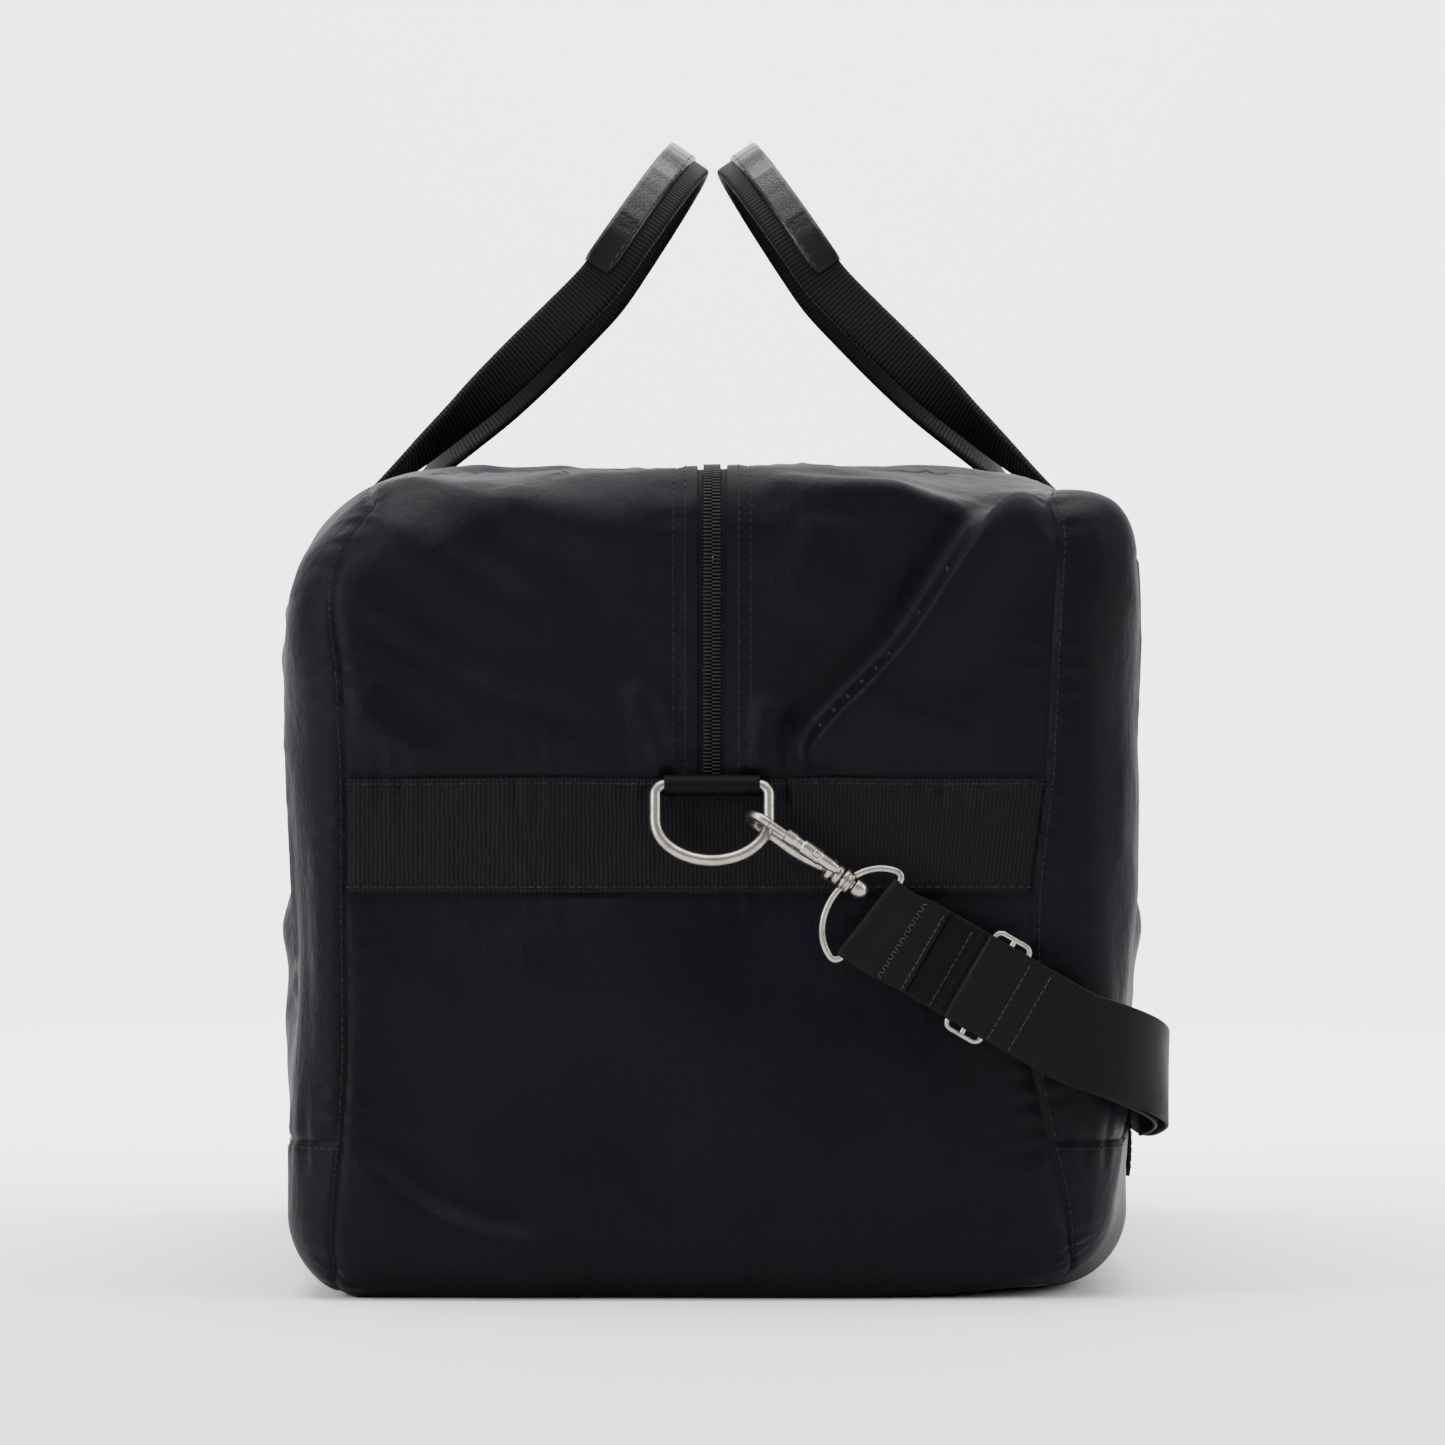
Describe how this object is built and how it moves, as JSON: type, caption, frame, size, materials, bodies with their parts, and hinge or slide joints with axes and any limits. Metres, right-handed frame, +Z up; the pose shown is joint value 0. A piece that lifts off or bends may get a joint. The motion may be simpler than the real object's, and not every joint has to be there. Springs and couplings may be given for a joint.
{
  "type": "duffel bag",
  "caption": "Soft zipped duffel bag with two webbing carry handles, leather grips, D-rings and a clip-on adjustable shoulder strap.",
  "frame": {"origin": "middle of the underside, on the surface the bag stands on", "axes": "+Z up, +Y along the bag's length away from the end with the strap adjuster, +X to the side the shoulder strap hangs on"},
  "size_m": [0.3589, 0.6452, 0.4873],
  "materials": {
    "nylon": "black nylon twill with a soft sheen",
    "base_nylon": "black nylon twill with a soft sheen",
    "lining": "plain woven lining",
    "board": "stiff black sheet",
    "zip_tape": "woven zip tape",
    "zip_coil": "nylon coil",
    "zip_metal": "satin nickel",
    "sleeve_fabric": "smooth bound tape",
    "nickel": "satin nickel plating",
    "spring_steel": "drawn spring wire",
    "band_webbing": "ribbed polypropylene webbing",
    "handle_webbing": "ribbed webbing",
    "strap_webbing": "tight flat webbing",
    "grip_leather": "glossy creased leather"
  },
  "bodies": {
    "root": {"base_board": "board", "bottom_panel": "base_nylon", "d_ring_sleeve_far": "sleeve_fabric", "d_ring_sleeve_near": "sleeve_fabric", "end_band_far": "band_webbing", "end_band_near": "band_webbing", "end_panel_far": "nylon", "end_panel_near": "nylon", "end_upper_far_left": "nylon", "end_upper_far_right": "nylon", "end_upper_near_left": "nylon", "end_upper_near_right": "nylon", "handle_left_legs": "handle_webbing", "handle_right_legs": "handle_webbing", "lining_tub": "lining", "side_panel_left": "nylon", "side_panel_right": "nylon", "zip_coil_far_left": "zip_coil", "zip_coil_far_right": "zip_coil", "zip_coil_near_left": "zip_coil", "zip_coil_near_right": "zip_coil", "zip_tape_far_left": "zip_tape", "zip_tape_far_right": "zip_tape", "zip_tape_near_left": "zip_tape", "zip_tape_near_right": "zip_tape"},
    "top_left": {"top_panel_left": "nylon", "top_lining_left": "lining", "zip_tape_left": "zip_tape", "zip_coil_left": "zip_coil"},
    "top_right": {"top_panel_right": "nylon", "top_lining_right": "lining", "zip_tape_right": "zip_tape", "zip_coil_right": "zip_coil"},
    "zip_slider": {"zip_slider": "zip_metal"},
    "zip_pull": {"zip_pull": "zip_metal"},
    "d_ring_near": {"d_ring_near": "nickel"},
    "d_ring_far": {"d_ring_far": "nickel"},
    "handle_left": {"handle_left_loop": "handle_webbing", "handle_left_grip": "grip_leather"},
    "handle_right": {"handle_right_loop": "handle_webbing", "handle_right_grip": "grip_leather"},
    "strap": {"strap_webbing": "strap_webbing", "strap_tail": "strap_webbing", "tri_glide": "nickel", "swivel_bow_near": "nickel", "swivel_bow_far": "nickel"},
    "hook_near": {"snap_hook_near": "nickel", "gate_spring_near": "spring_steel"},
    "hook_far": {"snap_hook_far": "nickel", "gate_spring_far": "spring_steel"},
    "bolt_near": {"gate_bolt_near": "nickel"},
    "bolt_far": {"gate_bolt_far": "nickel"}
  },
  "joints": [
    {"name": "top_left_fold", "type": "hinge", "parent": "root", "child": "top_left", "pos_m": [-0.1125, 0, 0.3352], "axis": [0, 1, 0], "range_deg": [0, 85]},
    {"name": "top_right_fold", "type": "hinge", "parent": "root", "child": "top_right", "pos_m": [0.1125, 0, 0.3352], "axis": [0, -1, 0], "range_deg": [0, 85]},
    {"name": "zip_slide", "type": "slide", "parent": "root", "child": "zip_slider", "axis": [0, -1, 0], "range_m": [0, 0.5]},
    {"name": "zip_pull_swing", "type": "hinge", "parent": "zip_slider", "child": "zip_pull", "pos_m": [0, 0.25, 0.3403], "axis": [1, 0, 0], "range_deg": [0, 180]},
    {"name": "d_ring_near_swing", "type": "hinge", "parent": "root", "child": "d_ring_near", "pos_m": [0, -0.3063, 0.2068], "axis": [1, 0, 0], "range_deg": [-4, 4]},
    {"name": "d_ring_far_swing", "type": "hinge", "parent": "root", "child": "d_ring_far", "pos_m": [0, 0.3063, 0.2068], "axis": [1, 0, 0], "range_deg": [-4, 4]},
    {"name": "handle_left_swing", "type": "hinge", "parent": "root", "child": "handle_left", "pos_m": [-0.177, 0, 0.302], "axis": [0, -1, 0], "range_deg": [0, 200]},
    {"name": "handle_right_swing", "type": "hinge", "parent": "root", "child": "handle_right", "pos_m": [0.177, 0, 0.302], "axis": [0, 1, 0], "range_deg": [0, 200]},
    {"name": "strap_swing", "type": "hinge", "parent": "root", "child": "strap", "pos_m": [0.02229, 0, 0.19002], "axis": [0, 1, 0], "range_deg": [-45, 0]},
    {"name": "hook_near_swivel", "type": "hinge", "parent": "strap", "child": "hook_near", "pos_m": [0.02229, -0.3116, 0.19002], "axis": [0.8261, 0, -0.5635], "range_deg": [-25, 25]},
    {"name": "bolt_near_slide", "type": "slide", "parent": "hook_near", "child": "bolt_near", "axis": [0.8261, 0, -0.5635], "range_m": [0, 0.0065], "stiffness_N_per_m": 300, "springref_m": -0.004, "deforming": ["gate_spring_near"]},
    {"name": "hook_far_swivel", "type": "hinge", "parent": "strap", "child": "hook_far", "pos_m": [0.02229, 0.3116, 0.19002], "axis": [0.8261, 0, -0.5635], "range_deg": [-25, 25]},
    {"name": "bolt_far_slide", "type": "slide", "parent": "hook_far", "child": "bolt_far", "axis": [0.8261, 0, -0.5635], "range_m": [0, 0.0065], "stiffness_N_per_m": 300, "springref_m": -0.004, "deforming": ["gate_spring_far"]}
  ]
}
